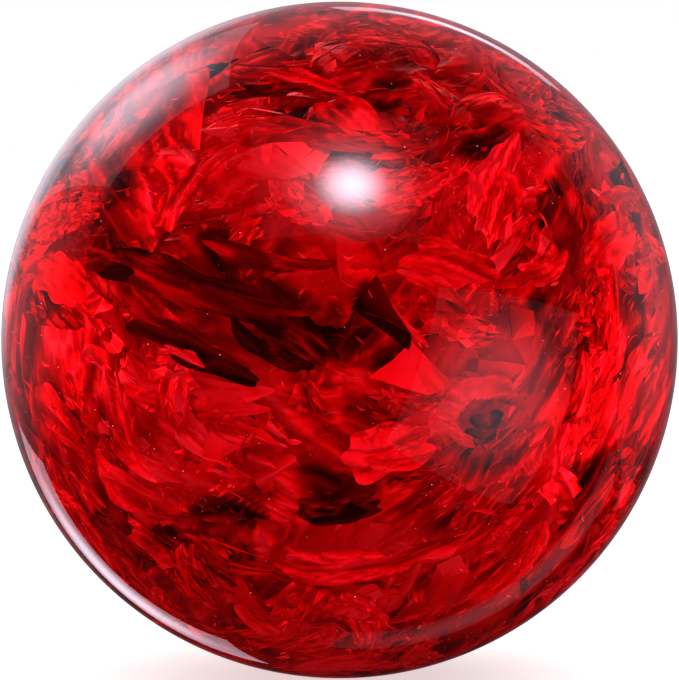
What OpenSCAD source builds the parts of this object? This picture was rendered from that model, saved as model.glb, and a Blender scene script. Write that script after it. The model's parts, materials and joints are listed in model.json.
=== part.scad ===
// A bowling ball with a clear cover. Crumpled sheets of film are cast inside the cover, round a dark
// filler ball that holds a weight block. It is drilled for two fingers and a thumb.
// The origin is the centre of the ball, +Z is up, and the grip's centre and the locator pin face +Y.
// The cast pieces are poured round each other, and the inserts and the slug are glued in, so
// neighbouring pieces share their faces.

/* [Ball] */
// Diameter of the finished ball
ball_d = 217.6; // [216:0.1:218.3]
// Diameter of the opaque filler ball under the clear cover
core_d = 156; // [144:1:160]

/* [Weight block] */
// Diameter of the block's flange
block_d = 80; // [60:1:84]
// Thickness of the flange
block_flange = 16; // [10:1:20]
// Diameter of the block's flat crown
block_crown_d = 34; // [24:1:38]
// Diameter of the block's flat foot
block_foot_d = 30; // [20:1:40]
// Distance from the ball's centre to the crown, towards the grip
block_top = 34; // [26:1:36]
// Distance from the ball's centre to the foot, away from the grip
block_bottom = 38; // [26:1:44]

/* [Locator pin] */
// Diameter of the pin
pin_d = 9.5; // [8:0.5:12]

/* [Grip] */
// Span along the surface, from the thumb hole's edge to the finger holes' edges
span = 108; // [96:1:114]
// Bridge of cover between the two finger holes
bridge = 6.4; // [6:0.2:9]
// How far each finger hole's axis passes from the ball's centre
finger_pitch = 9.5; // [8:0.5:12]
// Depth of the pilot hole under each finger insert
finger_depth = 44; // [36:1:50]

/* [Finger inserts] */
// Outer diameter of a finger insert
insert_od = 24.6; // [22:0.2:26]
// Diameter of the finger's bore, and of the pilot hole
insert_id = 21.4; // [18:0.2:21.6]
// Length of a finger insert
insert_l = 31.8; // [25:0.2:34]
// How far the insert's rim lies below the ball's surface
insert_drop = 0.8; // [0.4:0.1:1.6]

/* [Thumb slug] */
// Outer diameter of the slug
slug_od = 31.8; // [30:0.2:34]
// Diameter of the thumb's bore
thumb_d = 25.4; // [22:0.2:27]
// Length of the slug
slug_l = 66.6; // [60:0.2:68]
// Depth of the thumb's bore
thumb_depth = 60; // [50:1:58]
// Width of the bevel round each hole
hole_bevel = 1.5; // [0.8:0.1:2]

/* [Film] */
// Sheets in each of the three layers
sheets_per_layer = 16; // [8:1:17]
// Widest measure of a sheet
sheet_w = 50; // [30:1:54]
// Depth of a sheet's pleats
pleat_depth = 2.4; // [1:0.1:2.6]
// Thickness of a crumpled sheet
film_t = 0.4; // [0.3:0.05:0.6]

/* [Hidden] */
ball_r = ball_d / 2;
core_r = core_d / 2;
cover_t = ball_r - core_r;
to_degrees = 180 / PI;

// Where the holes lie: angles at the ball's centre, up from the grip's centre and to its sides
grip_spread = (span + (insert_od + slug_od) / 2) / ball_r * to_degrees / 2;
finger_side = (bridge + insert_od) / ball_r * to_degrees / 2;

// Film layers, as shares of the cover's thickness out from the filler
layers = 3;
first_layer = 0.11;
layer_step = 0.32;
folds = 5;          // pleats across a sheet
outline_points = 7; // corners of a torn sheet
torn_min = 0.72;    // shortest corner of a torn outline, as a share of the longest
golden_turn = 137.508;

clearance = 1;      // how far a cutting tool runs past what it cuts
smooth = 96;
bore_smooth = 64;
$fn = smooth;

hardware = ["cover", "core_filler", "weight_block", "locator_pin",
            "middle_finger_insert", "ring_finger_insert", "thumb_slug"];
sheet_count = layers * sheets_per_layer;
function sheet_name(i) = str("film_sheet_", i < 9 ? "0" : "", i + 1);

// A repeatable number from 0 to 1 for sheet i and use k
function chance(i, k) = let (s = sin(i * 127.1 + k * 311.7) * 437.58) s - floor(s);

// --- places ---------------------------------------------------------------------------------------

// The unit vector at an angle up from +Y and an angle to the side, towards +X
function on_ball(up, side) = [cos(up) * sin(side), cos(up) * cos(side), sin(up)];

// Puts its children where a hole's axis meets the surface, with +Z out of the hole. The axis runs
// from the point at `pitch` along X, beside the ball's centre.
module at_hole(up, side, pitch) {
    start = [pitch, 0, 0];
    line = ball_r * on_ball(up, side) - start;
    reach = norm(line);
    translate(start)
        rotate([0, acos(line.z / reach), atan2(line.y, line.x)])
            translate([0, 0, reach])
                children();
}

module at_finger(hand_side) {
    at_hole(grip_spread, hand_side * finger_side, hand_side * finger_pitch) children();
}

module at_thumb() {
    at_hole(-grip_spread, 0, 0) children();
}

// Puts its children on a layer of film, at point i of n spread evenly over a sphere
module on_layer(i, n, radius) {
    latitude = asin(1 - (2 * i + 1) / n);
    rotate([0, 90 - latitude, i * golden_turn])
        translate([0, 0, radius])
            children();
}

// --- holes drilled after casting ------------------------------------------------------------------

// How far a round hole's rim lies below the point where its axis meets the ball
function rim_drop(d) = ball_r - sqrt(pow(ball_r, 2) - pow(d / 2, 2));

// A round tool that reaches `depth` below the surface and comes out past it
module drill(d, depth) {
    translate([0, 0, -depth]) cylinder(h = depth + rim_drop(d) + clearance, d = d, $fn = bore_smooth);
}

// A 45 degree tool that bevels a hole's rim
module bevel_cutter(d, drop, width) {
    height = width + drop + clearance;
    translate([0, 0, -drop - width])
        cylinder(h = height, d1 = d, d2 = d + 2 * height, $fn = bore_smooth);
}

module finger_hole() {
    drill(insert_id, finger_depth);
    drill(insert_od, insert_l + insert_drop);
    bevel_cutter(insert_od, rim_drop(insert_od), hole_bevel / 2);
}

module drilled_holes() {
    for (hand_side = [-1, 1]) at_finger(hand_side) finger_hole();
    at_thumb() drill(slug_od, slug_l);
}

// The pin stands on the weight block and reaches past the surface before it is trimmed
module pin_rod() {
    translate([0, block_top, 0])
        rotate([-90, 0, 0])
            cylinder(h = ball_r - block_top + clearance, d = pin_d, $fn = bore_smooth);
}

// --- inside ---------------------------------------------------------------------------------------

module weight_block_solid() {
    half = block_flange / 2;
    rotate([-90, 0, 0])
        rotate_extrude()
            polygon([[0, -block_bottom], [block_foot_d / 2, -block_bottom], [block_d / 2, -half],
                     [block_d / 2, half], [block_crown_d / 2 + 3, block_top - 4],
                     [block_crown_d / 2, block_top], [0, block_top]]);
}

module weight_block() {
    color("dimgray") weight_block_solid();
}

module core_filler() {
    color("#3a0406")
    difference() {
        sphere(r = core_r);
        weight_block_solid();
        pin_rod();
        drilled_holes();
    }
}

module locator_pin() {
    color("#c8283c")
    intersection() {
        pin_rod();
        sphere(r = ball_r);
    }
}

// --- film -----------------------------------------------------------------------------------------

// Pleats run along Y. Their ridges and troughs are unevenly deep and unevenly spaced.
module pleats(i) {
    pitch = sheet_w / folds;
    ridge = [for (k = [0:folds])
        [(k - folds / 2) * pitch + (k == 0 || k == folds ? 0 : (chance(i, k) - 0.5) * pitch * 0.6),
         (k % 2 == 0 ? 1 : -1) * pleat_depth / 2 * (0.4 + 0.6 * chance(i, k + 20))]];
    underside = [for (k = [folds:-1:0]) ridge[k] - [0, film_t]];
    rotate([90, 0, 0])
        linear_extrude(height = sheet_w + clearance, center = true)
            polygon(concat(ridge, underside));
}

// The sheet's torn edge, as seen from outside the ball
module torn_outline(i) {
    linear_extrude(height = 4 * pleat_depth, center = true)
        polygon([for (k = [0:outline_points - 1])
            let (reach = sheet_w / 2 * (torn_min + (1 - torn_min) * chance(i, k + 40)),
                 turn = (k + 0.5 * chance(i, k + 60)) * 360 / outline_points)
            reach * [cos(turn), sin(turn)]]);
}

module uncut_sheet(i) {
    layer = floor(i / sheets_per_layer);
    place = i % sheets_per_layer;
    on_layer(place, sheets_per_layer, core_r + cover_t * (first_layer + layer_step * layer))
        rotate(360 * chance(i, 80))
            intersection() {
                pleats(i);
                torn_outline(i);
            }
}

// The drill and the pin's mould cut whatever film lies in their way
module film_sheet(i) {
    color(i % 2 == 0 ? "#e0101c" : "#b00814")
    difference() {
        uncut_sheet(i);
        drilled_holes();
        pin_rod();
    }
}

// --- cover ----------------------------------------------------------------------------------------

module cover() {
    color("#ff2030")
    difference() {
        sphere(r = ball_r);
        sphere(r = core_r);
        for (i = [0:sheet_count - 1]) uncut_sheet(i);
        pin_rod();
        drilled_holes();
    }
}

// --- what is glued into the holes -----------------------------------------------------------------

// A soft sleeve. Its rim follows the ball a little below the surface, and its mouth is bevelled.
module finger_insert(hand_side) {
    color("#7a0a12")
    difference() {
        intersection() {
            at_finger(hand_side) drill(insert_od, insert_l + insert_drop);
            sphere(r = ball_r - insert_drop);
        }
        at_finger(hand_side) {
            drill(insert_id, finger_depth);
            bevel_cutter(insert_id, rim_drop(insert_id) + insert_drop, hole_bevel / 2);
        }
    }
}

module middle_finger_insert() { finger_insert(1); }

module ring_finger_insert() { finger_insert(-1); }

// A round plug, sanded flush with the ball and bored for the thumb
module thumb_slug() {
    color("#8a0c16")
    difference() {
        intersection() {
            at_thumb() drill(slug_od, slug_l);
            sphere(r = ball_r);
        }
        at_thumb() {
            drill(thumb_d, thumb_depth);
            bevel_cutter(thumb_d, rim_drop(thumb_d), hole_bevel);
        }
    }
}

cover();
core_filler();
weight_block();
locator_pin();
middle_finger_insert();
ring_finger_insert();
thumb_slug();
for (i = [0:sheet_count - 1]) film_sheet(i);
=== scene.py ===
"""The looks of a clear red bowling ball with crumpled film cast inside, built round its CAD frame."""
import json
import math

import bmesh
import bpy
import numpy as np
from mathutils import Matrix, Vector, geometry

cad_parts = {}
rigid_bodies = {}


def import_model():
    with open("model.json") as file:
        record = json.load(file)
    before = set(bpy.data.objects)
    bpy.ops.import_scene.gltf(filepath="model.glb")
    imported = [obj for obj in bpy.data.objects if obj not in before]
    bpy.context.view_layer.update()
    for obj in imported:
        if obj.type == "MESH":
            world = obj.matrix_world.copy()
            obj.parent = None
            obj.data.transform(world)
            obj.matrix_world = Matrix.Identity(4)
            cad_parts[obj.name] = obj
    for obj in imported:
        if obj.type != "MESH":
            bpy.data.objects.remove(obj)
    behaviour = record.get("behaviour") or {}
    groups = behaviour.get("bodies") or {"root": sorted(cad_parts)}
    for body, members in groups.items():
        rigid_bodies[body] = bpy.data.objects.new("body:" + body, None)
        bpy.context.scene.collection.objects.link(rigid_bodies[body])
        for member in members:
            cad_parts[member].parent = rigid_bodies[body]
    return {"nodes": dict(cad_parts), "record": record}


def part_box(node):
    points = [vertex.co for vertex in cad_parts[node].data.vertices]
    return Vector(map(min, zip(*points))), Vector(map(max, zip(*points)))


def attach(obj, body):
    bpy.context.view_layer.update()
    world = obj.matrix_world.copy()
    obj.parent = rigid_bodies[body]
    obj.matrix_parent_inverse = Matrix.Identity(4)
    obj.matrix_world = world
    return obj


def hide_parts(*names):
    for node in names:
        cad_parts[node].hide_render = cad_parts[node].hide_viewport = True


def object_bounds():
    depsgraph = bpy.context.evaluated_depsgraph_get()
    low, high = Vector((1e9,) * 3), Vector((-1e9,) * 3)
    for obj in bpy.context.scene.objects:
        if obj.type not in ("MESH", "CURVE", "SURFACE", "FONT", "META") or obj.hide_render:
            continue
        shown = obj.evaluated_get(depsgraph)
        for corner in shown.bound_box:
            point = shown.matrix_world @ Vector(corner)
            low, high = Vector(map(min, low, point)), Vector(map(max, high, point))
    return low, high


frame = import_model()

CAD_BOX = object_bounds()
MM = 0.001
BODY = "root"

BALL_R = CAD_BOX[1].z                       # metres, like everything below unless a name says mm
CORE_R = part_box("core_filler")[1].z
BALL_MM = BALL_R / MM
CORE_MM = CORE_R / MM
MOUNTS = {m["name"]: m for m in frame["record"]["mounts"]}
SHEET_NODES = sorted(n for n in frame["nodes"] if n.startswith("film_sheet_"))
LAYERS = 3                                  # the CAD sheets' layers, from the deepest one out
SHEETS_PER_LAYER = len(SHEET_NODES) // LAYERS


# --- small tools ----------------------------------------------------------------------------------

def smoothstep(low, high, x):
    """0 at low and 1 at high, with an even curve between them."""
    t = np.clip((x - low) / (high - low), 0.0, 1.0)
    return t * t * (3.0 - 2.0 * t)


def hash01(ix, iy, iz, seed):
    """A repeatable number from 0 to 1 for each point of an integer lattice."""
    mixed = (ix.astype(np.uint32) * np.uint32(374761393) + iy.astype(np.uint32) * np.uint32(668265263)
             + iz.astype(np.uint32) * np.uint32(2147483647) + np.uint32(seed * 1274126177 % 2**32))
    mixed = (mixed ^ (mixed >> np.uint32(13))) * np.uint32(1274126177)
    mixed = mixed ^ (mixed >> np.uint32(16))
    return (mixed & np.uint32(0xFFFFFF)).astype(float) / float(0xFFFFFF)


def noise(points, scale, seed):
    """Smooth noise from -1 to 1 at points, with lumps about `scale` across."""
    q = points / scale
    cell = np.floor(q).astype(np.int64)
    f = q - cell
    f = f * f * (3.0 - 2.0 * f)
    total = np.zeros(len(points))
    for corner in np.ndindex(2, 2, 2):
        weight = np.prod([f[:, k] if c else 1.0 - f[:, k] for k, c in enumerate(corner)], axis=0)
        total += weight * hash01(*(cell[:, k] + corner[k] for k in range(3)), seed)
    return total * 2.0 - 1.0


def unit(v):
    """The same vectors at a length of 1."""
    return v / np.linalg.norm(v, axis=-1, keepdims=True)


def mesh_object(name, verts, faces, material):
    """A smooth object from an array of corners and an array of faces that all have as many corners."""
    faces = np.asarray(faces)
    mesh = bpy.data.meshes.new(name)
    mesh.vertices.add(len(verts))
    mesh.vertices.foreach_set("co", np.asarray(verts, np.float32).ravel())
    mesh.loops.add(faces.size)
    mesh.loops.foreach_set("vertex_index", faces.ravel().astype(np.int32))
    mesh.polygons.add(len(faces))
    mesh.polygons.foreach_set("loop_start", np.arange(0, faces.size, faces.shape[1], dtype=np.int32))
    mesh.update(calc_edges=True)
    mesh.validate()
    mesh.shade_smooth()
    mesh.materials.append(material)
    obj = bpy.data.objects.new(name, mesh)
    bpy.context.scene.collection.objects.link(obj)
    return obj


def seat(obj, node):
    """Rides a piece on the ball, and hides the CAD node that it stands for."""
    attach(obj, BODY)
    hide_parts(node)
    return obj


# --- materials ------------------------------------------------------------------------------------

FILM_LETS_THROUGH = 0.5   # share of a light's rays that go through a leaf
RESIN_BENDS = 1.55


class Nodes:
    """Short names for building the node tree of a material or a world."""

    def __init__(self, owner, output="ShaderNodeOutputMaterial"):
        self.owner = owner
        owner.use_nodes = True
        self.tree = owner.node_tree
        self.tree.nodes.clear()
        self.output = self.add(output)

    def add(self, kind, settings=None, **inputs):
        """A node with some settings. An input's name has _ for each space."""
        node = self.tree.nodes.new(kind)
        for key, value in (settings or {}).items():
            setattr(node, key, value)
        for key, value in inputs.items():
            self.put(node, key.replace("_", " "), value)
        return node

    def put(self, node, socket, value):
        """Links a node's output to an input, or sets the input to a plain value."""
        target = node.inputs[socket]
        if isinstance(value, bpy.types.NodeSocket):
            self.tree.links.new(value, target)
        else:
            target.default_value = value

    def numbered(self, kind, settings, *values):
        """The first output of a node whose inputs are filled in order."""
        node = self.add(kind, settings)
        for k, value in enumerate(values):
            self.put(node, k, value)
        return node.outputs[0]

    def math(self, operation, *values):
        return self.numbered("ShaderNodeMath", {"operation": operation}, *values)

    def mix(self, share, first, second):
        """The second shader by its share, and the first by the rest."""
        return self.numbered("ShaderNodeMixShader", None, share, first.outputs[0], second.outputs[0])

    def noise(self, scale, detail, vector):
        return self.add("ShaderNodeTexNoise", Scale=scale, Detail=detail, Vector=vector).outputs["Fac"]

    def smooth_range(self, value, low, high, least, most):
        """Goes evenly from `least` to `most` while a value goes from `low` to `high`."""
        node = self.add("ShaderNodeMapRange", {"interpolation_type": "SMOOTHSTEP"}, Value=value,
                        From_Min=low, From_Max=high, To_Min=least, To_Max=most)
        return node.outputs[0]

    def ramp(self, factor, *stops):
        """A colour that runs through stops of (place, colour)."""
        node = self.add("ShaderNodeValToRGB", Fac=factor)
        while len(node.color_ramp.elements) < len(stops):
            node.color_ramp.elements.new(0.5)
        for element, (place, colour) in zip(node.color_ramp.elements, stops):
            element.position = place
            element.color = (*colour, 1.0)
        return node.outputs["Color"]

    def object_coords(self):
        return self.add("ShaderNodeTexCoord").outputs["Object"]

    def surface(self, shader):
        """Ends the tree with a shader, and gives the material or world that it belongs to."""
        self.tree.links.new(shader, self.output.inputs["Surface"])
        return self.owner


def film_material():
    """Glossy dyed film. Its tone runs from near black, where shade is painted into the gaps and the deep
    film, through red to pinkish painted highlights and the pale specks. It lets part of the light through to
    the film under it."""
    n = Nodes(bpy.data.materials.new("film_red"))
    tone = n.add("ShaderNodeAttribute", {"attribute_name": "tone"}).outputs["Fac"]
    # The tone holds painted light and shade besides the film's random tone: the dark end colours painted
    # shade, the pinkish top painted highlights and the pale specks.
    colour = n.ramp(tone, (0.0, (0.01, 0.0, 0.0)), (0.25, (0.17, 0.0, 0.0)), (0.5, (0.46, 0.0, 0.0005)),
                    (0.8, (0.78, 0.001, 0.003)), (0.9, (0.86, 0.004, 0.01)), (0.95, (0.93, 0.16, 0.19)),
                    (1.0, (1.0, 0.85, 0.88)))
    wrinkles = n.noise(500.0, 3.0, n.object_coords())
    bump = n.add("ShaderNodeBump", Strength=0.2, Distance=0.0004, Height=wrinkles)
    film = n.add("ShaderNodeBsdfPrincipled", Base_Color=colour, Metallic=0.5, Roughness=0.36,
                 Specular_IOR_Level=0.0, Normal=bump.outputs[0])
    through = n.add("ShaderNodeBsdfTransparent", Color=(0.9, 0.2, 0.2, 1.0))
    shadow = n.add("ShaderNodeLightPath").outputs["Is Shadow Ray"]
    return n.surface(n.mix(n.math("MULTIPLY", shadow, FILM_LETS_THROUGH), film, through))


def clear_material():
    """Polished clear resin. Only the eye's own rays bend in it, so that light reaches the film."""
    n = Nodes(bpy.data.materials.new("clear_resin"))
    glass = n.add("ShaderNodeBsdfGlass", Color=(1.0, 1.0, 1.0, 1.0), Roughness=0.0, IOR=RESIN_BENDS)
    clear = n.add("ShaderNodeBsdfTransparent")
    eye = n.add("ShaderNodeLightPath").outputs["Is Camera Ray"]
    return n.surface(n.mix(eye, clear, glass))


def resin_material(name, dark, light, roughness, scale=120.0, gloss=0.5):
    """Filled resin or moulded plastic with a faint cloudy pour."""
    n = Nodes(bpy.data.materials.new(name))
    coords = n.object_coords()
    cloud = n.noise(scale, 4.0, coords)
    grain = n.noise(scale * 14.0, 2.0, coords)
    bump = n.add("ShaderNodeBump", Strength=0.25, Distance=0.0002, Height=grain)
    base = n.add("ShaderNodeBsdfPrincipled", Base_Color=n.ramp(cloud, (0.3, dark), (0.7, light)),
                 Roughness=roughness, Normal=bump.outputs[0], Specular_IOR_Level=gloss)
    return n.surface(base.outputs[0])


# --- where the film lies ---------------------------------------------------------------------------
# Angles in degrees to the right of and up from the middle of the photo's view.

CAMERA_UP = math.radians(4)
HOLLOWS = (   # right, up, half width, half height, turn: gaps where the outer film is cut away and lies deep, with painted shade on the film there
    (-17, 5, 25, 8.5, -21), (1, 1, 9, 5, -35), (-37, 12, 14, 6.5, -14), (-2, -28, 9, 5, 8),
    (26, -16, 4.5, 4, 0), (16, 40, 6, 2.6, -10), (36, 39, 5, 3, 20), (-15, 47, 10, 3.2, 8),
    (48, 19, 3, 6, -10),
    (44, 4, 3, 4.5, 20), (-29, -32, 7, 2.4, 20), (9, -50, 8, 2.5, 0), (4, 8, 4, 3, 40),
    (62, -30, 4, 7, 20), (-52, 32, 4, 6, -30), (13, -2, 5, 2, -45))
PAINTED_HIGHLIGHTS = (   # right, up, half width, half height, turn: stretches of film with a painted highlight
    (0, 17, 8, 7, 0), (30, 28, 10, 16, -35), (18, -8, 9, 5, -30), (-53, 10, 9, 6, -10),
    (40, -20, 8, 9, 20), (3, 29, 12, 6, 0), (-23, -17, 6, 4, 20), (4, -42, 14, 5, 0), (-42, -26, 9, 7, -30),
    (-21, 32, 15, 8, -20), (30, -28, 7, 7, 0), (60, 8, 5, 12, 0), (-10, -10, 8, 3, -30),
    (-44, 40, 9, 16, -40))
FLOWS = (     # right, up, turn, reach: which way the creases run
    (-20, 6, -20, 24), (30, 28, 52, 17), (0, -38, 8, 18), (45, -20, 62, 18), (-50, -8, -32, 16),
    (0, 50, 4, 16), (-36, 34, 58, 13), (-20, -24, -35, 14))


def axes(right, up):
    """The direction at two angles from the middle of the view, and the directions right of and above it."""
    right, up = math.radians(right), math.radians(up)
    view = np.array([0.0, -math.cos(CAMERA_UP), math.sin(CAMERA_UP)])
    top = np.array([0.0, math.sin(CAMERA_UP), math.cos(CAMERA_UP)])
    east = np.array([1.0, 0.0, 0.0])
    level = math.sin(right) * east + math.cos(right) * view
    toward = math.cos(up) * level + math.sin(up) * top
    sideways = math.cos(right) * east - math.sin(right) * view
    return toward, sideways, np.cross(toward, sideways)


def vector_noise(points, scale, seed):
    """Three smooth noises from -1 to 1, as a vector at each point."""
    return np.stack([noise(points + 3.1 * k, scale, seed + k) for k in range(3)], axis=1)


def within(direction, patches):
    """How far inside any of a list of oval patches each direction is, from 0 to 1."""
    most = np.zeros(len(direction))
    for right, up, half_w, half_h, turn in patches:
        toward, sideways, above = axes(right, up)
        x, y = np.degrees(direction @ sideways), np.degrees(direction @ above)
        turn = math.radians(turn)
        along = (x * math.cos(turn) + y * math.sin(turn)) / half_w
        across = (y * math.cos(turn) - x * math.sin(turn)) / half_h
        inside = smoothstep(1.3, 0.7, np.hypot(along, across)) * (direction @ toward > 0)
        most = np.maximum(most, inside)
    return most


def hollow(direction):
    """How empty the outer film is at each direction, from 0 to 1."""
    warped = direction + 0.09 * vector_noise(direction, 0.2, 81) + 0.03 * vector_noise(direction, 0.06, 84)
    scattered = smoothstep(0.42, 0.54, noise(warped, 0.17, 91)) * smoothstep(0.0, 0.3, noise(warped, 0.5, 92))
    return np.maximum(within(warped, HOLLOWS), scattered)


def tone_with_painted_light(direction):
    """The film's tone at each direction, about 0.2 to 0.9: a random patchy tone, with painted highlights and
    painted shade in the hollows.
    """
    warped = direction + 0.1 * vector_noise(direction, 0.25, 95)
    patches = 0.66 + 0.24 * noise(warped, 0.35, 98) + 0.2 * noise(warped, 0.12, 99)
    # Painted highlights lift the tone, and the hollows take painted shade.
    return np.clip(patches + 0.3 * within(warped, PAINTED_HIGHLIGHTS) - 0.48 * hollow(direction), 0.16, 0.95)


def flow(direction):
    """The direction along the ball in which the film's creases run."""
    run = vector_noise(direction, 0.7, 71)
    for right, up, turn, reach in FLOWS:
        toward, sideways, above = axes(right, up)
        away = np.degrees(np.arccos(np.clip(direction @ toward, -1, 1)))
        weight = np.exp(-(away / reach) ** 2)[:, None]
        turn = math.radians(turn)
        run = run * (1 - weight) + 1.4 * weight * (math.cos(turn) * sideways + math.sin(turn) * above)
    run -= (run * direction).sum(axis=1, keepdims=True) * direction
    return unit(run)


# --- film -----------------------------------------------------------------------------------------
# A leaf is one fold of film in its own plane: corners in mm (along, across, up), triangles, and a
# tone from 0 to 1 for each triangle's corners. A crumpled sheet is many leaves that lie over each other.

LEAF_ROUNDNESS = 2.4            # 2 gives an oval leaf, more makes it squarer
FINE_TEARS = (1, 2, 3, 5, 8, 13, 21)   # waves round an edge of separate facets
SOFT_TEARS = (1, 2, 3, 4, 5, 7)        # waves round a smooth leaf's edge


def tear(rng, turn, raggedness, waves):
    """How far a torn edge runs out or in, at each turn round a leaf."""
    return sum(rng.uniform(0.3, 1.0) * raggedness * np.cos(k * turn + rng.uniform(0, 2 * np.pi))
               for k in waves)


def torn_inside(rng, s, t, tris, size, raggedness):
    """Which triangles lie inside a torn outline. s and t run from -1 to 1 along and across the leaf."""
    middle_s, middle_t = s[tris].mean(axis=1), t[tris].mean(axis=1)
    edge = size + tear(rng, np.arctan2(middle_t, middle_s), raggedness, FINE_TEARS)
    power = LEAF_ROUNDNESS
    return (np.abs(middle_s) ** power + np.abs(middle_t) ** power) ** (1 / power) < edge


def draw_together(verts, half_l, pinch, sweep):
    """Narrows a leaf towards one end and bends it sideways."""
    verts[:, 1] *= 1.0 - pinch * (0.5 + 0.5 * verts[:, 0] / half_l)
    verts[:, 1] += sweep * verts[:, 0] ** 2 / (2 * half_l)
    return verts


CREASE_OCTAVES = 4


def ridged(points, seed):
    """Noise from 0 to 1 with sharp crests and rounded hollows, like the creases of crumpled film."""
    total, weight, height = np.zeros(len(points)), 0.0, 1.0
    for octave in range(CREASE_OCTAVES):
        crest = np.clip(1.0 - 1.7 * np.abs(noise(points, 1.0, seed + octave)), 0.0, 1.0)
        total += height * crest ** 1.5
        weight += height
        points = points * 2.03 + 17.1
        height *= 0.48
    return total / weight


def grid_triangles(rows, columns):
    """Two triangles for each cell of a grid of points that are numbered row by row."""
    a = np.arange(rows * columns).reshape(rows, columns)
    quads = np.stack([a[:-1, :-1], a[1:, :-1], a[1:, 1:], a[:-1, 1:]], axis=-1).reshape(-1, 4)
    return np.concatenate([quads[:, [0, 1, 2]], quads[:, [0, 2, 3]]])


def torn_outline(rng, s, t, size, raggedness):
    """Moves a square grid, -1 to 1 each way, into a torn rounded outline."""
    turn = np.arctan2(t, s)
    waves = tear(rng, turn, raggedness, SOFT_TEARS)
    power = LEAF_ROUNDNESS
    round_reach = (np.abs(np.cos(turn)) ** power + np.abs(np.sin(turn)) ** power) ** (-1 / power)
    reach = np.maximum(np.abs(s), np.abs(t)) * np.maximum(size * round_reach + waves, 0.3)
    return reach * np.cos(turn), reach * np.sin(turn)


LEAF_STEP_L = 1.2   # mm between a leaf's corners along and across its creases
LEAF_STEP_W = 0.7


def flow_leaf(rng, half_l, half_w, crease_l, crease_w, height, pinch, sweep, torn=0.07, step=1.0):
    """Film crumpled into long creases that run together and part again. A bigger step is coarser."""
    rows, columns = int(half_l * 2 / (LEAF_STEP_L * step)), int(half_w * 2 / (LEAF_STEP_W * step))
    s, t = (g.ravel() for g in np.meshgrid(np.linspace(-1, 1, rows), np.linspace(-1, 1, columns),
                                           indexing="ij"))
    s, t = torn_outline(rng, s, t, 0.92, torn)
    level = np.full_like(s, 0.5)
    seed = int(rng.integers(1 << 20))
    flat = np.stack([s * half_l / crease_l, t * half_w / crease_w, level], axis=1)
    bend = vector_noise(flat * 0.45, 1.0, seed + 20)
    crest = ridged(flat + 1.1 * bend * [1, 1, 0], seed)
    calm = smoothstep(-0.4, 0.3, noise(flat * 0.35 + 5.0, 1.0, seed + 30))
    up = height * (1.6 * crest * (0.25 + 0.75 * calm) + 1.4 * noise(flat * 0.3, 1.0, seed + 31))
    verts = np.stack([s * half_l, t * half_w + 0.8 * height * bend[:, 1], up], axis=1)
    patch = noise(flat * 0.6 + 3.0, 1.0, seed + 32)
    # Crests are painted lighter and the rounded hollows between them darker, a painted highlight and shade on
    # the creases, over a random patchy tone.
    tone = 0.45 + 0.2 * patch + 0.8 * (crest - 0.4) + 0.3 * smoothstep(0.55, 0.8, crest)
    tris = grid_triangles(rows, columns)
    return draw_together(verts, half_l, pinch, sweep), tris, tone[tris]


def refine(verts, tris, tone):
    """Splits each triangle in four, and shares its corners' tones out."""
    edges = np.sort(np.concatenate([tris[:, [0, 1]], tris[:, [1, 2]], tris[:, [2, 0]]]), axis=1)
    unique, index = np.unique(edges, axis=0, return_inverse=True)
    ab, bc, ca = index.reshape(3, -1) + len(verts)
    a, b, c = tris.T
    split = [np.stack(t, axis=1) for t in ((a, ab, ca), (ab, b, bc), (ca, bc, c), (ab, bc, ca))]
    ta, tb, tc = tone.T
    tab, tbc, tca = (ta + tb) / 2, (tb + tc) / 2, (tc + ta) / 2
    tones = [np.stack(t, axis=1) for t in ((ta, tab, tca), (tab, tb, tbc), (tca, tbc, tc), (tab, tbc, tca))]
    return np.concatenate([verts, verts[unique].mean(axis=1)]), np.concatenate(split), np.concatenate(tones)


def facet_leaf(rng, half_l, half_w, facet_l, facet_w, height, bulge, levels, pinch, sweep, ragged=0.07,
               size=0.9):
    """Film crumpled into facets that part at their creases. Each facet bulges a little, and its tone
    runs from one corner to the next. Long narrow facets look like drapery."""
    count_l = max(2, int(2 * half_l / facet_l + 1.01))
    count_w = max(2, int(2 * half_w / facet_w + 1.01))
    gl, gw = (g.ravel() for g in np.meshgrid(np.arange(count_l), np.arange(count_w), indexing="ij"))
    cells = np.stack([gl, gw], axis=1) + rng.uniform(-0.45, 0.45, (gl.size, 2))
    _, _, tris, *_ = geometry.delaunay_2d_cdt([Vector(p) for p in cells.tolist()], [], [], 0, 1e-6)
    tris = np.array([t for t in tris if len(t) == 3])
    s = cells[:, 0] / (count_l - 1) * 2 - 1
    t = cells[:, 1] / (count_w - 1) * 2 - 1
    tris = tris[torn_inside(rng, s, t, tris, size, ragged)]
    up = height * rng.normal(0, 0.6, gl.size)
    verts = np.stack([s * half_l, t * half_w, up], axis=1)
    # Raised corners are a little lighter and sunk ones darker, a painted light and shade; the rest of the
    # tone differs at random.
    tone = (0.52 + 0.1 * up[tris] / height + rng.normal(0, 0.13, (len(tris), 1))
            + rng.normal(0, 0.14, tris.shape))
    verts, tris = verts[tris].reshape(-1, 3), np.arange(tris.size).reshape(-1, 3)
    for level in range(levels):
        before = len(verts)
        verts, tris, tone = refine(verts, tris, tone)
        jolt = bulge * 0.4 ** level * rng.normal(0, 1, (len(verts) - before, 3))
        verts[before:] += jolt * [0.9, 0.6, 1.0]
    return draw_together(verts, half_l, pinch, sweep), tris, tone


def flow_at(centre, roll):
    """The way the film runs at one direction, turned by an angle."""
    along = flow(centre[None])[0]
    return math.cos(roll) * along + math.sin(roll) * np.cross(centre, along)


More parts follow.
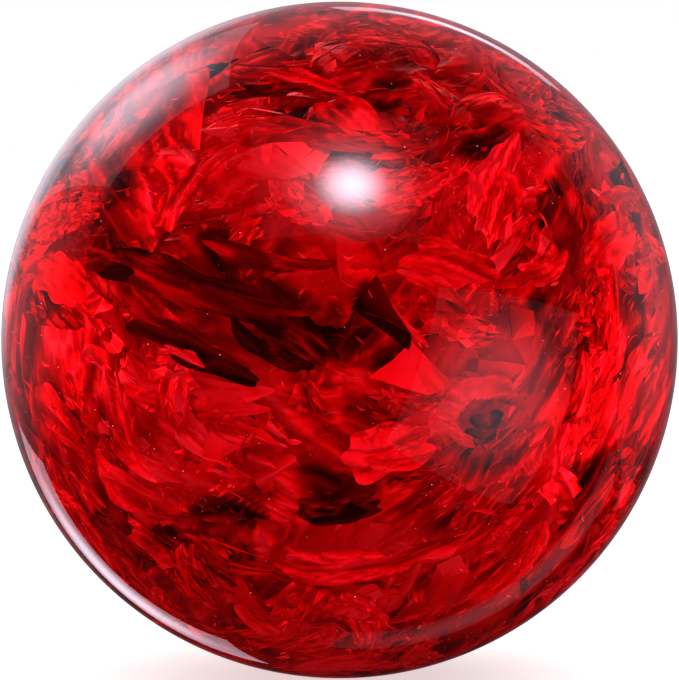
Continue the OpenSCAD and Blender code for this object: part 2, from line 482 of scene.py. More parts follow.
def wrap(verts, centre, along, radius, tilt, low, high):
    """Lays a leaf on the sphere of `radius` mm round the direction `centre`, from `low` to `high` mm out."""
    across = np.cross(centre, along)
    u, v, h = verts.T
    distance = np.hypot(u, v) + 1e-9
    angle = distance / radius
    direction = (np.cos(angle)[:, None] * centre
                 + (np.sin(angle) / distance)[:, None] * (u[:, None] * along + v[:, None] * across))
    r = radius + h + tilt[0] * u + tilt[1] * v
    middle, half = (low + high) / 2, (high - low) / 2
    r = middle + half * np.tanh((r - middle) / half)
    return direction * r[:, None]


def near(rng, centre, away):
    """A direction about `away` radians from another."""
    return unit(centre + away * unit(np.cross(centre, rng.normal(0, 1, 3))))


STRIP_ROWS = 6


def per_strip(values):
    """One number or vector for each strip, shaped to spread over the strip's rows and columns."""
    values = np.asarray(values)
    return values[:, None, None, :] if values.ndim == 2 else values[:, None, None, None]


def shreds(rng, centres, radii, half_l, half_w, curl, jitter, tones):
    """Small curled strips of film, one at each direction and radius."""
    count, rows = len(centres), STRIP_ROWS
    along = flow(centres)
    across = np.cross(centres, along)
    turn = rng.normal(0, jitter, count)[:, None]
    along, across = np.cos(turn) * along + np.sin(turn) * across, np.cos(turn) * across - np.sin(turn) * along
    s = np.linspace(-1, 1, rows)[None, :, None, None]
    c = np.array([-1.0, 0.0, 1.0])[None, None, :, None]
    lean = per_strip(rng.uniform(-1.3, 1.3, count)) + per_strip(rng.normal(0, 0.8, count)) * s
    side = np.cos(lean) * per_strip(across) + np.sin(lean) * per_strip(centres)
    lift = np.cos(lean) * per_strip(centres) - np.sin(lean) * per_strip(across)
    width = per_strip(half_w) * (1 - np.abs(s) ** 1.7) * per_strip(rng.uniform(0.5, 1, count))
    path = s * per_strip(half_l)
    bow = s ** 2 * per_strip(half_l)
    points = (per_strip(centres * radii[:, None]) + path * per_strip(along)
              + bow * (per_strip(rng.normal(0, curl, count)) * per_strip(across)
                       + per_strip(rng.normal(0, curl * 0.7, count)) * per_strip(centres))
              + c * width * side + (c == 0) * 0.35 * width * lift)
    tris = grid_triangles(rows, 3)
    all_tris = (tris[None] + (np.arange(count) * rows * 3)[:, None, None]).reshape(-1, 3)
    tone = np.repeat(tones, len(tris))
    return points.reshape(-1, 3), all_tris, np.repeat(tone[:, None], 3, axis=1)


TOOL_MARGIN = 0.3   # mm of clear resin kept round what is drilled or moulded through the cover
FILM_CREASE = math.radians(40)


def keep_clear(points, tools, low, high):
    """Which points (mm) are in the cover and outside what is drilled or moulded through it."""
    r = np.linalg.norm(points, axis=1)
    good = (r > low) & (r < high)
    for start, axis, radius, depth in tools:
        offset = points - start
        height = offset @ axis
        away = np.linalg.norm(offset - height[:, None] * axis, axis=1)
        good &= (away > radius + TOOL_MARGIN) | (height < -depth - TOOL_MARGIN)
    return good


def joined_triangles(tris):
    """Which triangles share an edge with another one."""
    edges = np.sort(tris[:, [[0, 1], [1, 2], [2, 0]]].reshape(-1, 2), axis=1).astype(np.int64)
    key = edges[:, 0] * (int(tris.max()) + 1) + edges[:, 1]
    _, index, count = np.unique(key, return_inverse=True, return_counts=True)
    return (count[index].reshape(-1, 3) > 1).any(axis=1)


def film_object(name, leaves, material, tools):
    """Joins leaves that are in place into one object, and drops what lies in a hole or stands alone."""
    offsets = np.cumsum([0] + [len(verts) for verts, _, _ in leaves])
    verts = np.concatenate([verts for verts, _, _ in leaves])
    tris = np.concatenate([tris + offset for (_, tris, _), offset in zip(leaves, offsets)])
    tone = np.concatenate([tone for _, _, tone in leaves])
    in_cover = keep_clear(verts, tools, CORE_MM + 0.1, BALL_MM - 0.8)
    good = in_cover[tris].all(axis=1)
    tris, tone = tris[good], tone[good]
    whole = joined_triangles(tris)
    tris, tone = tris[whole], tone[whole]
    used, tris = np.unique(tris, return_inverse=True)
    obj = mesh_object(name, verts[used] * MM, tris.reshape(-1, 3), material)
    obj.data.set_sharp_from_angle(angle=FILM_CREASE)
    attribute = obj.data.attributes.new("tone", "FLOAT", "CORNER")
    attribute.data.foreach_set("value", tone.ravel())
    return obj


def shaded(placed, tris, tone, depth, deep):
    """A leaf in place, with the field's tone on it and painted shade that deepens with depth. A deep leaf
    stays whole, others part at the hollows and take painted shade round them.
    """
    direction = unit(placed)
    field = tone_with_painted_light(direction)
    if not deep:
        gap = hollow(direction)[tris].mean(axis=1)
        kept = gap < 0.4
        tris, tone = tris[kept], tone[kept]
        # Painted shade round the hollows.
        field = field - 0.2 * hollow(direction)
    # Deeper leaves are painted darker, a painted shade for depth.
    final = np.clip((tone - 0.5 + field[tris]) * (0.75 + 0.3 * depth), 0.02, 0.9)
    return placed, tris, final


def any_leaf(rng, kind, size):
    """A leaf of a kind, about `size` mm from its middle to its ends."""
    pinch, sweep = rng.uniform(0, 0.7), rng.uniform(-0.6, 0.6)
    if kind == "flow":
        return flow_leaf(rng, size * 0.9, size * rng.uniform(0.35, 0.6), rng.uniform(7, 13),
                         rng.uniform(1.8, 4.5), rng.uniform(1.0, 2.2), pinch, sweep)
    if kind == "drape":
        return facet_leaf(rng, size, size * rng.uniform(0.35, 0.6), size * rng.uniform(0.5, 0.9),
                          rng.uniform(1.6, 3.2), 1.0, 0.25, 2, pinch, sweep)
    if kind == "plate":
        return facet_leaf(rng, size * 0.7, size * rng.uniform(0.35, 0.5), size * 0.7, size * 0.35,
                          rng.uniform(1.4, 2.4), 0.3, 3, pinch * 0.5, sweep * 0.3)
    if kind == "crumple":
        return facet_leaf(rng, size * 0.9, size * rng.uniform(0.4, 0.7), rng.uniform(2.6, 4.8),
                          rng.uniform(1.3, 2.3), 0.9, 0.2, 1, pinch, sweep)
    return facet_leaf(rng, size * 0.55, size * rng.uniform(0.3, 0.5), 1.7, 0.95, 0.6, 0.1, 0, pinch, sweep)


KINDS = ("flow", "plate", "crumple", "drape", "froth", "crumple", "flow", "froth", "crumple", "flow", "froth",
         "drape", "crumple", "flow")   # any other kind of leaf is froth


def deep_sheet(rng, centre, radius):
    """One wide crumpled sheet. Together these cover the filler."""
    verts, tris, tone = flow_leaf(rng, 56, 56, rng.uniform(16, 24), rng.uniform(5, 8), 2.4, 0.0,
                                  rng.uniform(-0.3, 0.3), 0.02, 1.6)
    along = flow_at(centre, rng.uniform(-0.4, 0.4))
    placed = wrap(verts, centre, along, radius, (0, 0), CORE_MM + 0.4, radius + 7)
    # At depth 0 the deep sheet takes the darkest painted shade.
    return shaded(placed, tris, tone, 0.0, True)


LOOSE = (   # count, least and most half length in mm, width as a share of length, curl, jitter, tone, spread
    (45, 0.8, 3.0, 0.3, 0.3, 0.6, 0.1, 0.3),       # small strips
    (24, 2.0, 5.5, 0.05, 0.15, 0.25, 0.35, 0.3))   # thin edges with a painted highlight
FROTH_PATCHES = 4
STRIPS_PER_PATCH = 40
SPECKS = 16


def loose_strips(rng, centre, count, least, most, slim, curl, jitter, tone, spread):
    """Strips of film that lie round a direction. In the hollows they lie deeper."""
    places = unit(centre + rng.normal(0, spread, (count, 3)))
    radii = np.where(hollow(places) < 0.5, rng.uniform(CORE_MM + 6, BALL_MM - 5, count),
                     rng.uniform(CORE_MM + 2, CORE_MM + 7, count))
    half_l = rng.uniform(least, most, count)
    # The tone takes the field's painted light and shade; the thin edges' lift is a painted highlight.
    tones = np.clip(tone_with_painted_light(places) + rng.normal(tone, 0.15, count), 0.03, 0.9)
    half_w = half_l * slim * rng.uniform(0.6, 1.4, count)
    return shreds(rng, places, radii, half_l, half_w, curl, jitter, tones)


def froth_patch(rng, centre):
    """A cluster of very fine strips, pale with a painted highlight. There are none in the hollows."""
    middle = unit(centre + rng.normal(0, 0.2, 3))
    places = unit(middle + rng.normal(0, 0.028, (STRIPS_PER_PATCH, 3)))
    places = places[hollow(places) < 0.2]
    count = len(places)
    radii = rng.uniform(CORE_MM + 12, BALL_MM - 5) + rng.normal(0, 0.8, count)
    half_l = rng.uniform(0.2, 0.9, count)
    return shreds(rng, places, radii, half_l, np.full(count, 0.06), 0.25, 1.0, rng.uniform(0.88, 0.94, count))


def specks(rng, centre):
    """Tiny pale crumbs round a direction, at any depth."""
    places = unit(centre + rng.normal(0, 0.3, (SPECKS, 3)))
    half = rng.uniform(0.1, 0.26, SPECKS)
    radii = rng.uniform(CORE_MM + 8, BALL_MM - 3, SPECKS)
    return shreds(rng, places, radii, half, half, 0.1, 3.0, rng.uniform(0.94, 1.0, SPECKS))


def crumbs(rng, centre):
    """What lies loose between the leaves."""
    pieces = [loose_strips(rng, centre, *kind) for kind in LOOSE]
    pieces += [froth_patch(rng, centre) for _ in range(FROTH_PATCHES)]
    pieces.append(specks(rng, centre))
    return pieces


LANDMARKS = (   # right, up, turn, half length and half width in mm, a flat plate or a creased fold, tone, painted to each fold's light or shade
    (-1, 14, -60, 11, 8, "plate", 0.84), (5, 5, -42, 9, 5, "plate", 0.02),
    (10, 3, -46, 14, 2.2, "fold", 0.8), (13, -7, -35, 8, 5, "plate", 0.62),
    (-55, 10, -20, 16, 9, "fold", 0.55), (-20, -18, 15, 8, 3.5, "plate", 0.85),
    (25, -16, 10, 5, 4, "fold", 0.05), (-10, 4, -36, 20, 8, "fold", 0.06),
    (-37, 12, -16, 24, 6, "fold", 0.07), (-24, 8, -18, 30, 8, "fold", 0.12),
    (-24, -2, -22, 24, 6, "fold", 0.06), (-13, 13, -12, 20, 4, "fold", 0.2),
    (-24, -10, -4, 24, 8, "fold", 0.66), (9, -19, 12, 15, 10, "fold", 0.7),
    (31, 27, 55, 19, 10, "fold", 0.72), (-30, 26, 60, 14, 8, "fold", 0.66),
    (40, -20, 60, 12, 8, "fold", 0.72), (52, 6, 75, 14, 6, "fold", 0.55),
    (0, -30, 5, 13, 6, "fold", 0.08), (4, -41, 8, 26, 7, "fold", 0.62),
    (20, 13, -15, 15, 7, "fold", 0.62), (-42, -26, -30, 16, 8, "fold", 0.6),
    (-8, 36, -10, 20, 7, "fold", 0.6), (58, -30, 60, 14, 7, "fold", 0.55),
    (-12, -2, -30, 15, 3.5, "fold", 0.02), (-17, 46, 5, 12, 4, "fold", 0.1),
    (16, 9, -25, 12, 3, "fold", 0.8), (-32, 5, -30, 14, 3, "fold", 0.35),
    (26, -14, 30, 6, 4.5, "fold", 0.03))
LANDMARK_R = 101.5   # mm from the ball's centre


def landmark(rng, right, up, turn, half_l, half_w, kind, painted_light_level):
    """One large fold that the eye picks out in the photo."""
    toward, sideways, above = axes(right, up)
    turn = math.radians(turn)
    along = math.cos(turn) * sideways + math.sin(turn) * above
    if kind == "plate":
        verts, tris, tone = facet_leaf(rng, half_l, half_w, 2 * half_l, 2 * half_w, 0.9, 0.5, 3, 0.25, 0.0,
                                       ragged=0.03, size=2.0)
    else:
        verts, tris, tone = flow_leaf(rng, half_l, half_w, half_l * 0.8, rng.uniform(3, 5), 2.0, 0.3,
                                      rng.uniform(-0.3, 0.3), 0.1)
        tone = 0.5 + (tone - 0.5) * (0.5 + painted_light_level)
    placed = wrap(verts, toward, along, LANDMARK_R, rng.uniform(-0.12, 0.12, 2), CORE_MM, BALL_MM - 1)
    # The level paints the fold's light or shade: high for a lit plate, low for a fold in shade.
    return placed, tris, np.clip((tone - 0.5) * 0.9 + painted_light_level, 0.01, 0.87)


def sheet_leaves(rng, centre, radius):
    """The leaves round one CAD sheet's direction and radius (mm)."""
    leaves = []
    for k, kind in enumerate(KINDS):
        verts, tris, tone = any_leaf(rng, kind, rng.uniform(9, 18))
        toward = near(rng, centre, 0.0 if k == 0 else rng.uniform(0.12, 0.45))
        out = radius + rng.uniform(-3, 5)
        along = flow_at(toward, rng.normal(0, 0.55))
        placed = wrap(verts, toward, along, out, rng.uniform(-0.3, 0.3, 2), CORE_MM + 0.6, BALL_MM - 3.5)
        # The depth sets how much painted shade the leaf takes.
        depth = (out - CORE_MM) / (BALL_MM - CORE_MM)
        leaves.append(shaded(placed, tris, tone, depth, False))
    return leaves


def film_sheets(material, tools):
    """A piece of crumpled film for each CAD sheet. Each landmark joins the outer sheet nearest to it."""
    centres = np.array([(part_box(node)[0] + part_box(node)[1]) / 2 for node in SHEET_NODES])
    radii = np.linalg.norm(centres, axis=1) / MM
    rng = np.random.default_rng(7)
    marks = [landmark(rng, *mark) for mark in LANDMARKS]
    outer = (LAYERS - 1) * SHEETS_PER_LAYER
    owners = [outer + int(np.argmax(unit(centres[outer:]) @ unit(placed[0]))) for placed, _, _ in marks]
    for index, node in enumerate(SHEET_NODES):
        rng = np.random.default_rng(100 + index)
        radius = float(radii[index])
        centre = unit(centres[index])
        leaves = [deep_sheet(rng, centre, radius)] if index < SHEETS_PER_LAYER else []
        leaves += sheet_leaves(rng, centre, radius)
        leaves += crumbs(rng, centre)
        leaves += [mark for mark, owner in zip(marks, owners) if owner == index]
        seat(film_object(node.replace("film_sheet", "film"), leaves, material, tools), node)


# --- holes and what is glued into them ------------------------------------------------------------

INSERT_DROP = 0.8     # mm from the ball's surface down to a finger insert's rim
THUMB_BEVEL = 1.5
FINGER_BEVEL = 0.75
FINGER_DEPTH = 44.0   # mm down to the end of the pilot hole under a finger insert
THUMB_DEPTH = 60.0    # mm down to the end of the thumb's bore
GRIP_GROOVES = 6
GROOVE_START = 5.0    # mm down a finger insert's bore to its first groove, and from groove to groove
GROOVE_PITCH = 4.2
GROOVE_DEPTH = 0.25
POLISHED = 0.02       # mm from a true sphere down to a flush piece's rim
CUT_PAST = 1.0        # mm that a cutting shape reaches past the ball
GLUE = 0.05           # how far a glued piece reaches into the resin round it, so no gap shows
RIM_SEGMENTS = 144    # corners round a turned piece
HARD_EDGE = math.radians(25)


class Hole:
    """A round hole: where its axis leaves the ball, its axis, and sizes in mm."""

    def __init__(self, node, place, axis, bore=0.0):
        axis = Vector(axis).normalized()
        place = Vector(place)
        along = place.dot(axis)
        reach = math.sqrt(along ** 2 + BALL_R ** 2 - place.length_squared)
        self.mouth = np.array(place + (reach - along) * axis) / MM
        self.axis = np.array(axis)
        self.side = unit(np.cross(self.axis, [1.0, 0.0, 0.0]))
        self.other = np.cross(self.axis, self.side)
        self.bore = bore
        mesh = frame["nodes"][node].data
        points = np.empty(len(mesh.vertices) * 3, np.float32)
        mesh.vertices.foreach_get("co", points)
        offset = points.reshape(-1, 3) / MM - self.mouth
        height = offset @ self.axis
        self.radius = float(np.linalg.norm(offset - height[:, None] * self.axis, axis=1).max())
        self.depth = -float(height.min())

    def circle(self, radius, angles):
        """Points (mm) round this axis, level with the mouth."""
        return self.mouth + radius * (np.cos(angles)[:, None] * self.side
                                      + np.sin(angles)[:, None] * self.other)

    def rim(self, radius, angles):
        """Heights at which a tube of a radius round this axis meets the ball."""
        points = self.circle(radius, angles)
        along = points @ self.axis
        return np.sqrt(along ** 2 - (points ** 2).sum(axis=1) + BALL_MM ** 2) - along

    def turned(self, name, profile, material, ring=False):
        """A turned piece. Its profile is a list of (radius, height, from_rim): heights in mm out from the
        mouth, or from the ball's own surface where from_rim is true. A ring's ends join."""
        angles = np.linspace(0, 2 * math.pi, RIM_SEGMENTS, endpoint=False)
        rows = []
        for radius, height, from_rim in profile:
            heights = height + (self.rim(radius, angles) if from_rim else np.zeros(RIM_SEGMENTS))
            rows.append(self.circle(radius, angles) + heights[:, None] * self.axis)
        verts = np.concatenate(rows) * MM
        a = np.arange(len(profile) * RIM_SEGMENTS).reshape(len(profile), RIM_SEGMENTS)
        a = np.concatenate([a, a[:, :1]], axis=1)
        if ring:
            a = np.concatenate([a, a[:1]], axis=0)
        quads = np.stack([a[:-1, :-1], a[:-1, 1:], a[1:, 1:], a[1:, :-1]], axis=-1).reshape(-1, 4)
        tris = np.concatenate([quads[:, [0, 1, 2]], quads[:, [0, 2, 3]]])
        _, first, merged = np.unique(np.round(verts, 8), axis=0, return_index=True, return_inverse=True)
        tris = merged.reshape(-1)[tris]
        whole = (tris[:, 0] != tris[:, 1]) & (tris[:, 1] != tris[:, 2]) & (tris[:, 2] != tris[:, 0])
        obj = mesh_object(name, verts[first], tris[whole], material)
        obj.data.set_sharp_from_angle(angle=HARD_EDGE)
        return obj


def holes():
    """The drilled holes by the piece glued into each, and the pin's place, which was moulded."""
    found = {}
    for node, name in (("middle_finger_insert", "middle_finger_bore"),
                       ("ring_finger_insert", "ring_finger_bore"), ("thumb_slug", "thumb_bore")):
        mount = MOUNTS[name]
        found[node] = Hole(node, mount["pos_m"], mount["axis"], mount["dims"]["r_mm"])
    pin_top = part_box("locator_pin")[1].y
    found["locator_pin"] = Hole("locator_pin", (0, pin_top / 2, 0), (0, 1, 0))
    return found


def finger_insert(node, hole, material):
    """A soft sleeve with a rounded rim that follows the ball, and shallow grip grooves in its bore."""
    out, bore, rim = hole.radius + GLUE, hole.bore, -INSERT_DROP
    profile = [(out, -hole.depth, False), (out, rim - 0.3, True), (out - 0.1, rim - 0.08, True),
               (out - 0.35, rim, True), (bore + 0.7, rim, True), (bore + 0.3, rim - 0.15, True),
               (bore + 0.08, rim - 0.4, True), (bore, rim - 0.75, True)]
    for k in range(GRIP_GROOVES):
        middle = -GROOVE_START - GROOVE_PITCH * k
        groove = bore + GROOVE_DEPTH
        profile += [(bore, middle + 0.7, False), (groove, middle + 0.25, False),
                    (groove, middle - 0.25, False), (bore, middle - 0.7, False)]
    profile.append((bore, -hole.depth, False))
    return seat(hole.turned(node + "_grip", profile, material, ring=True), node)


def thumb_slug(node, hole, material):
    """A round plug sanded flush with the ball, with a rounded mouth and a round-cornered bore."""
    out, bore = hole.radius + GLUE, hole.bore
    profile = [(0, -hole.depth, False), (out, -hole.depth, False), (out, -POLISHED, True),
               (bore + THUMB_BEVEL, -POLISHED, True), (bore + 0.9, -0.3, True), (bore + 0.4, -0.75, True),
               (bore + 0.1, -1.25, True), (bore, -1.9, True), (bore, -THUMB_DEPTH + 1.5, False),
               (bore - 0.45, -THUMB_DEPTH + 0.45, False), (bore - 1.5, -THUMB_DEPTH, False),
               (0, -THUMB_DEPTH, False)]
    return seat(hole.turned(node + "_turned", profile, material), node)


def locator_pin(node, hole, material):
    """The moulded pin, its end polished almost flush with the ball."""
    out, end = hole.radius, -0.03
    profile = [(0, -hole.depth, False), (out, -hole.depth, False), (out, -0.1, True), (out - 0.1, end, True),
               (out * 0.66, end, True), (out * 0.33, end, True), (0, end, True)]
    return seat(hole.turned(node + "_moulded", profile, material), node)


def finger_pocket(hole, material):
    """What is drilled out of the cover for a finger insert and the pilot hole under it."""
    wall, pilot = hole.radius - GLUE, hole.bore + GLUE
    step, bottom = -hole.depth + GLUE, -FINGER_DEPTH - GLUE
    profile = [(0, bottom, False), (pilot, bottom, False), (pilot, step, False), (wall, step, False),
               (wall, -FINGER_BEVEL, True), (wall + FINGER_BEVEL + CUT_PAST, CUT_PAST, True),
               (0, 3 * CUT_PAST, True)]
    return hole.turned("pocket", profile, material)


def thumb_pocket(hole, material):
    """What is drilled out of the cover for the thumb slug."""
    wall, bottom = hole.radius - GLUE, -hole.depth + GLUE
    profile = [(0, bottom, False), (wall, bottom, False), (wall, CUT_PAST, True), (0, 3 * CUT_PAST, True)]
    return hole.turned("pocket", profile, material)


def cover_piece(material, pockets):
    """The polished ball of clear resin, drilled for what is glued into it."""
    bm = bmesh.new()
    bmesh.ops.create_icosphere(bm, subdivisions=7, radius=BALL_R)
    mesh = bpy.data.meshes.new("clear_cover")
    bm.to_mesh(mesh)
    bm.free()
    mesh.materials.append(material)
    ball = bpy.data.objects.new("blank", mesh)
    bpy.context.scene.collection.objects.link(ball)
    for pocket in pockets:
        cut = ball.modifiers.new("cut", "BOOLEAN")
        cut.operation = "DIFFERENCE"
        cut.solver = "EXACT"
        cut.object = pocket
    seen = ball.evaluated_get(bpy.context.evaluated_depsgraph_get())
    drilled = bpy.data.meshes.new_from_object(seen)
    obj = bpy.data.objects.new("clear_cover", drilled)
    bpy.context.scene.collection.objects.link(obj)
    for spent in [ball, *pockets]:
        bpy.data.objects.remove(spent)
    polish(drilled)
    return seat(obj, "cover")


ROUND_WITHIN = 5e-6   # metres off the sphere that still count as on it


def polish(mesh):
    """Gives the round outside the ball's own normals, so it reflects like a true sphere."""
    mesh.shade_smooth()
    mesh.set_sharp_from_angle(angle=HARD_EDGE)
    co = np.empty(len(mesh.vertices) * 3, np.float32)
    mesh.vertices.foreach_get("co", co)
    co = co.reshape(-1, 3)
    outside = np.abs(np.linalg.norm(co, axis=1) - BALL_R) < ROUND_WITHIN
    corner = np.empty(len(mesh.loops), np.int32)
    mesh.loops.foreach_get("vertex_index", corner)
    starts = np.empty(len(mesh.polygons), np.int32)
    mesh.polygons.foreach_get("loop_start", starts)
    round_face = np.minimum.reduceat(outside[corner].astype(np.int8), starts)
    sizes = np.diff(np.append(starts, len(corner)))
    on_round = np.repeat(round_face, sizes).astype(bool)
    normals = np.where(on_round[:, None], co[corner] / BALL_R, 0.0)
    mesh.normals_split_custom_set(normals.tolist())


# --- the stage ------------------------------------------------------------------------------------

CAMERA_DISTANCE = 1.2
SENSOR_MM = 36.0
FLOOR_HALF = 6.0
BALL_FILLS = 0.9953   # the ball's radius as a share of half the picture
LAMP_COLOUR = (0.93, 0.84, 1.0)
BACKDROP_COLOUR = (0.95, 0.87, 1.0, 1.0)


def camera():
    """The camera at the photo's angle, with the ball filling the picture as it does in the photo."""
    data = bpy.data.cameras.new("camera")
    obj = bpy.data.objects.new("camera", data)
    bpy.context.scene.collection.objects.link(obj)
    place = CAMERA_DISTANCE * Vector((0, -math.cos(CAMERA_UP), math.sin(CAMERA_UP)))
    obj.location = place
    obj.rotation_euler = (-place).to_track_quat("-Z", "Y").to_euler()
    data.sensor_width = SENSOR_MM
    data.lens = SENSOR_MM / 2 * BALL_FILLS / math.tan(math.asin(BALL_R / CAMERA_DISTANCE))
    bpy.context.scene.camera = obj


def softbox(name, toward, distance, width, height, radiance, edge, lit, up=(0, 0, 1), soft=0.5):
    """A rectangular light that faces the ball from a direction, with its top towards `up`. It shines only
    on the objects in `lit`. It fades to the share `edge` of `radiance` over `soft` of its width."""
    data = bpy.data.lights.new(name, "AREA")
    data.shape = "RECTANGLE"
    data.size, data.size_y = width, height
    data.energy = radiance * math.pi * width * height
    data.color = LAMP_COLOUR
    data.use_nodes = True
    tree = data.node_tree
    place = tree.nodes.new("ShaderNodeNewGeometry")
    reach = tree.nodes.new("ShaderNodeVectorMath")
    reach.operation = "DISTANCE"
    reach.inputs[1].default_value = (0.5, 0.5, 0.0)
    fall = tree.nodes.new("ShaderNodeMapRange")
    fall.interpolation_type = "SMOOTHSTEP"
    fall.inputs["From Min"].default_value = 0.5
    fall.inputs["From Max"].default_value = 0.5 - soft
    fall.inputs["To Min"].default_value = edge
    tree.links.new(place.outputs["Parametric"], reach.inputs[0])
    tree.links.new(reach.outputs["Value"], fall.inputs["Value"])
    tree.links.new(fall.outputs[0], tree.nodes["Emission"].inputs["Strength"])
    obj = bpy.data.objects.new(name, data)
    bpy.context.scene.collection.objects.link(obj)
    back = Vector(toward).normalized()
    obj.location = back * distance
    side = Vector(up).cross(back).normalized()
    obj.rotation_euler = Matrix((side, back.cross(side), back)).transposed().to_euler()
    group = bpy.data.collections.new(name + "_lit")
    for piece in lit:
        group.objects.link(piece)
    obj.light_linking.receiver_collection = group


def floor():
    """A white table. It glows a little less near the ball, a painted shade round the ball that also lets the
    ball's own shade show there.
    """
    n = Nodes(bpy.data.materials.new("pale_floor"))
    coords = n.object_coords()
    tone = n.ramp(n.noise(3.0, 2.0, coords), (0.3, (0.86, 0.86, 0.86)), (0.7, (0.9, 0.9, 0.9)))
    away = n.add("ShaderNodeVectorMath", {"operation": "LENGTH"}, Vector=coords).outputs["Value"]
    # The glow drops near the ball: painted shade.
    base = n.add("ShaderNodeBsdfPrincipled", Base_Color=tone, Roughness=0.8, Emission_Color=(1, 1, 1, 1),
                 Emission_Strength=n.smooth_range(away, 0.02, 0.11, 0.6, 1.1))
    half = FLOOR_HALF
    obj = mesh_object("floor", [(-half, -half, 0), (half, -half, 0), (half, half, 0), (-half, half, 0)],
                      [(0, 1, 2, 3)], n.surface(base.outputs[0]))
    obj.location.z = -BALL_R
    obj.visible_glossy = False


BACKDROP_TOWARD = (-0.295, 0.94, 0.165)   # the brightest part of the white backdrop behind the ball
STUDIO_GLOW = 0.006   # how bright the rest of the studio is


def world():
    """A dark studio with a white backdrop behind the ball. The camera itself sees plain white."""
    scene = bpy.context.scene
    scene.view_settings.view_transform = "Standard"
    scene.world = bpy.data.worlds.new("studio")
    n = Nodes(scene.world, "ShaderNodeOutputWorld")
    toward = n.add("ShaderNodeTexCoord").outputs["Generated"]
    dot = n.add("ShaderNodeVectorMath", {"operation": "DOT_PRODUCT"})
    n.put(dot, 0, toward)
    n.put(dot, 1, BACKDROP_TOWARD)
    facing = dot.outputs["Value"]
    height = n.add("ShaderNodeSeparateXYZ", Vector=toward).outputs["Z"]
    spot = n.smooth_range(facing, 0.955, 0.998, 0.0, 1.0)
    wide = n.smooth_range(facing, 0.45, 1.0, 0.0, 0.3)
    above_floor = n.smooth_range(height, -0.4, 0.0, 0.0, 1.0)
    glow = n.math("MULTIPLY_ADD", n.math("ADD", spot, wide), above_floor, STUDIO_GLOW)
    studio = n.add("ShaderNodeBackground", Color=BACKDROP_COLOUR, Strength=glow)
    white = n.add("ShaderNodeBackground", Color=(1.0, 1.0, 1.0, 1.0))
    n.surface(n.mix(n.add("ShaderNodeLightPath").outputs["Is Camera Ray"], studio, white))


def seen_from(right, up, toward_camera):
    """A world direction from its parts to the right of, above and towards the camera."""
    toward, sideways, above = axes(0, 0)
    return Vector(right * sideways + up * above + toward_camera * toward)


def mirrored(share, turn):
    """The direction whose reflection the camera sees at a share of the ball's radius from the ball's
    middle, `turn` degrees round from the right."""
    bend = math.atan(share * math.tan(math.asin(BALL_R / CAMERA_DISTANCE)))
    slant = math.asin(min(1.0, CAMERA_DISTANCE * math.sin(bend) / BALL_R))
    angle, turn = 2 * slant - bend, math.radians(turn)
    return seen_from(math.sin(angle) * math.cos(turn), math.sin(angle) * math.sin(turn), math.cos(angle))


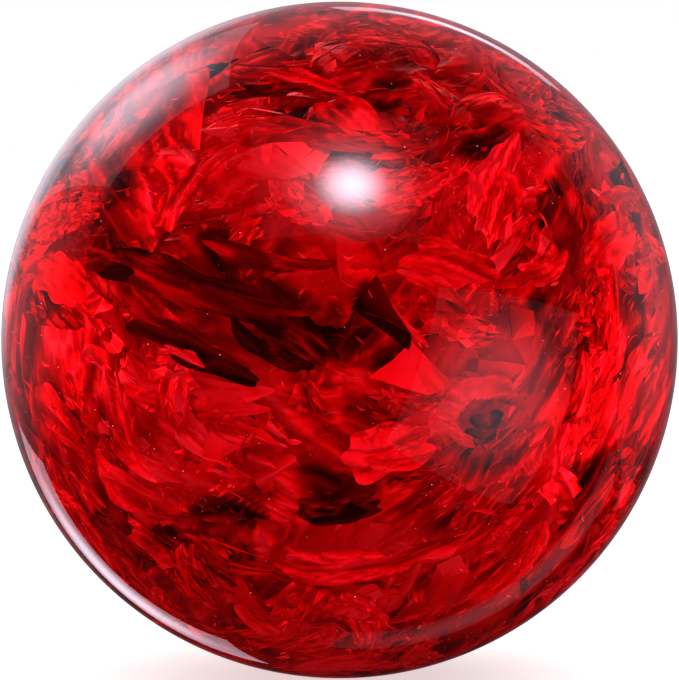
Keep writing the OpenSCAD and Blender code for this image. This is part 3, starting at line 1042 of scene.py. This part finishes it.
def lights(inside, outside):
    """The studio's softboxes. The first five light the film, and the polish reflects the others. Each has
    its direction, distance, width and height in metres, radiance, edge, what it lights, top and softness."""
    view = tuple(seen_from(0, 0, 1))
    softbox("film_key", seen_from(0.1, 0.75, 0.65), 1.0, 0.9, 0.9, 3.8, 0.4, inside)
    softbox("film_front", seen_from(0.1, -0.35, 0.94), 1.4, 1.6, 1.6, 2.1, 0.6, inside)
    softbox("film_left", seen_from(-0.95, 0.2, 0.0), 1.0, 1.0, 1.2, 6.0, 0.5, inside)
    softbox("film_right", seen_from(0.95, 0.0, 0.0), 1.0, 1.0, 1.2, 6.0, 0.5, inside)
    softbox("film_back", seen_from(0.1, 0.7, -0.7), 1.2, 1.2, 0.9, 5.0, 0.5, inside)
    softbox("key_bulb", seen_from(0.06, 0.76, 0.65), 0.95, 0.4, 0.4, 21.0, 0.0, outside, view)
    softbox("key_halo", seen_from(0.06, 0.76, 0.65), 0.96, 0.74, 0.74, 3.0, 0.0, outside, view)
    softbox("key_veil", seen_from(0.02, 0.82, 0.55), 1.0, 0.95, 0.85, 0.65, 0.1, outside, view, 0.45)
    softbox("low_right", seen_from(0.764, -0.26, 0.59), 1.0, 1.05, 1.05, 0.9, 0.15, outside, view, 0.4)
    softbox("right_rim", mirrored(0.905, 16), 1.0, 1.3, 0.8, 0.32, 0.25, outside, view, 0.4)
    softbox("upper_left", mirrored(0.895, 130), 1.0, 0.62, 0.78, 3.0, 0.12, outside, view, 0.4)
    softbox("low_left", mirrored(0.96, -134), 1.0, 0.62, 0.27, 2.8, 0.3, outside, view, 0.4)
    softbox("rear", mirrored(0.88, 50), 1.0, 0.5, 0.4, 0.15, 0.2, outside, view, 0.5)
    softbox("top_line", mirrored(0.971, 70), 1.0, 0.4, 0.1, 3.2, 0.3, outside, view, 0.5)
    softbox("low_right_rim", mirrored(0.885, -56), 1.0, 1.2, 0.22, 0.2, 0.4, outside, view, 0.4)


def main():
    """Sets up the studio and puts every piece in it."""
    world()
    camera()
    drilled = holes()
    tools = [(h.mouth, h.axis, h.radius, h.depth) for h in drilled.values()]
    tools += [(h.mouth, h.axis, h.bore, FINGER_DEPTH) for h in drilled.values() if h.bore]
    film_sheets(film_material(), tools)
    vinyl = resin_material("grip_vinyl_dark_red", (0.05, 0.002, 0.003), (0.085, 0.003, 0.005), 0.45, 60.0)
    urethane = resin_material("slug_urethane_maroon", (0.1, 0.004, 0.007), (0.17, 0.008, 0.012), 0.25, 90.0)
    pin = resin_material("pin_red", (0.35, 0.004, 0.01), (0.5, 0.01, 0.02), 0.25, 200.0)
    resin = clear_material()
    middle, ring, thumb = (drilled[n] for n in ("middle_finger_insert", "ring_finger_insert", "thumb_slug"))
    outside = [cover_piece(resin, [finger_pocket(middle, resin), finger_pocket(ring, resin),
                                   thumb_pocket(thumb, resin)]),
               finger_insert("middle_finger_insert", middle, vinyl),
               finger_insert("ring_finger_insert", ring, vinyl),
               thumb_slug("thumb_slug", thumb, urethane),
               locator_pin("locator_pin", drilled["locator_pin"], pin)]
    floor()
    filler = resin_material("filler_dark", (0.001, 0.0, 0.0), (0.005, 0.0, 0.0), 0.9, gloss=0.1)
    repaint("core_filler", filler)
    repaint("weight_block", resin_material("block_grey", (0.05, 0.05, 0.055), (0.09, 0.09, 0.1), 0.6))
    inside = [o for o in bpy.context.scene.objects if o.name.startswith("film_") and o.type == "MESH"]
    lights(inside + [frame["nodes"]["core_filler"]], outside)


def repaint(node, material):
    """Gives a CAD node that stays in the picture its material."""
    mesh = frame["nodes"][node].data
    mesh.materials.clear()
    mesh.materials.append(material)


main()
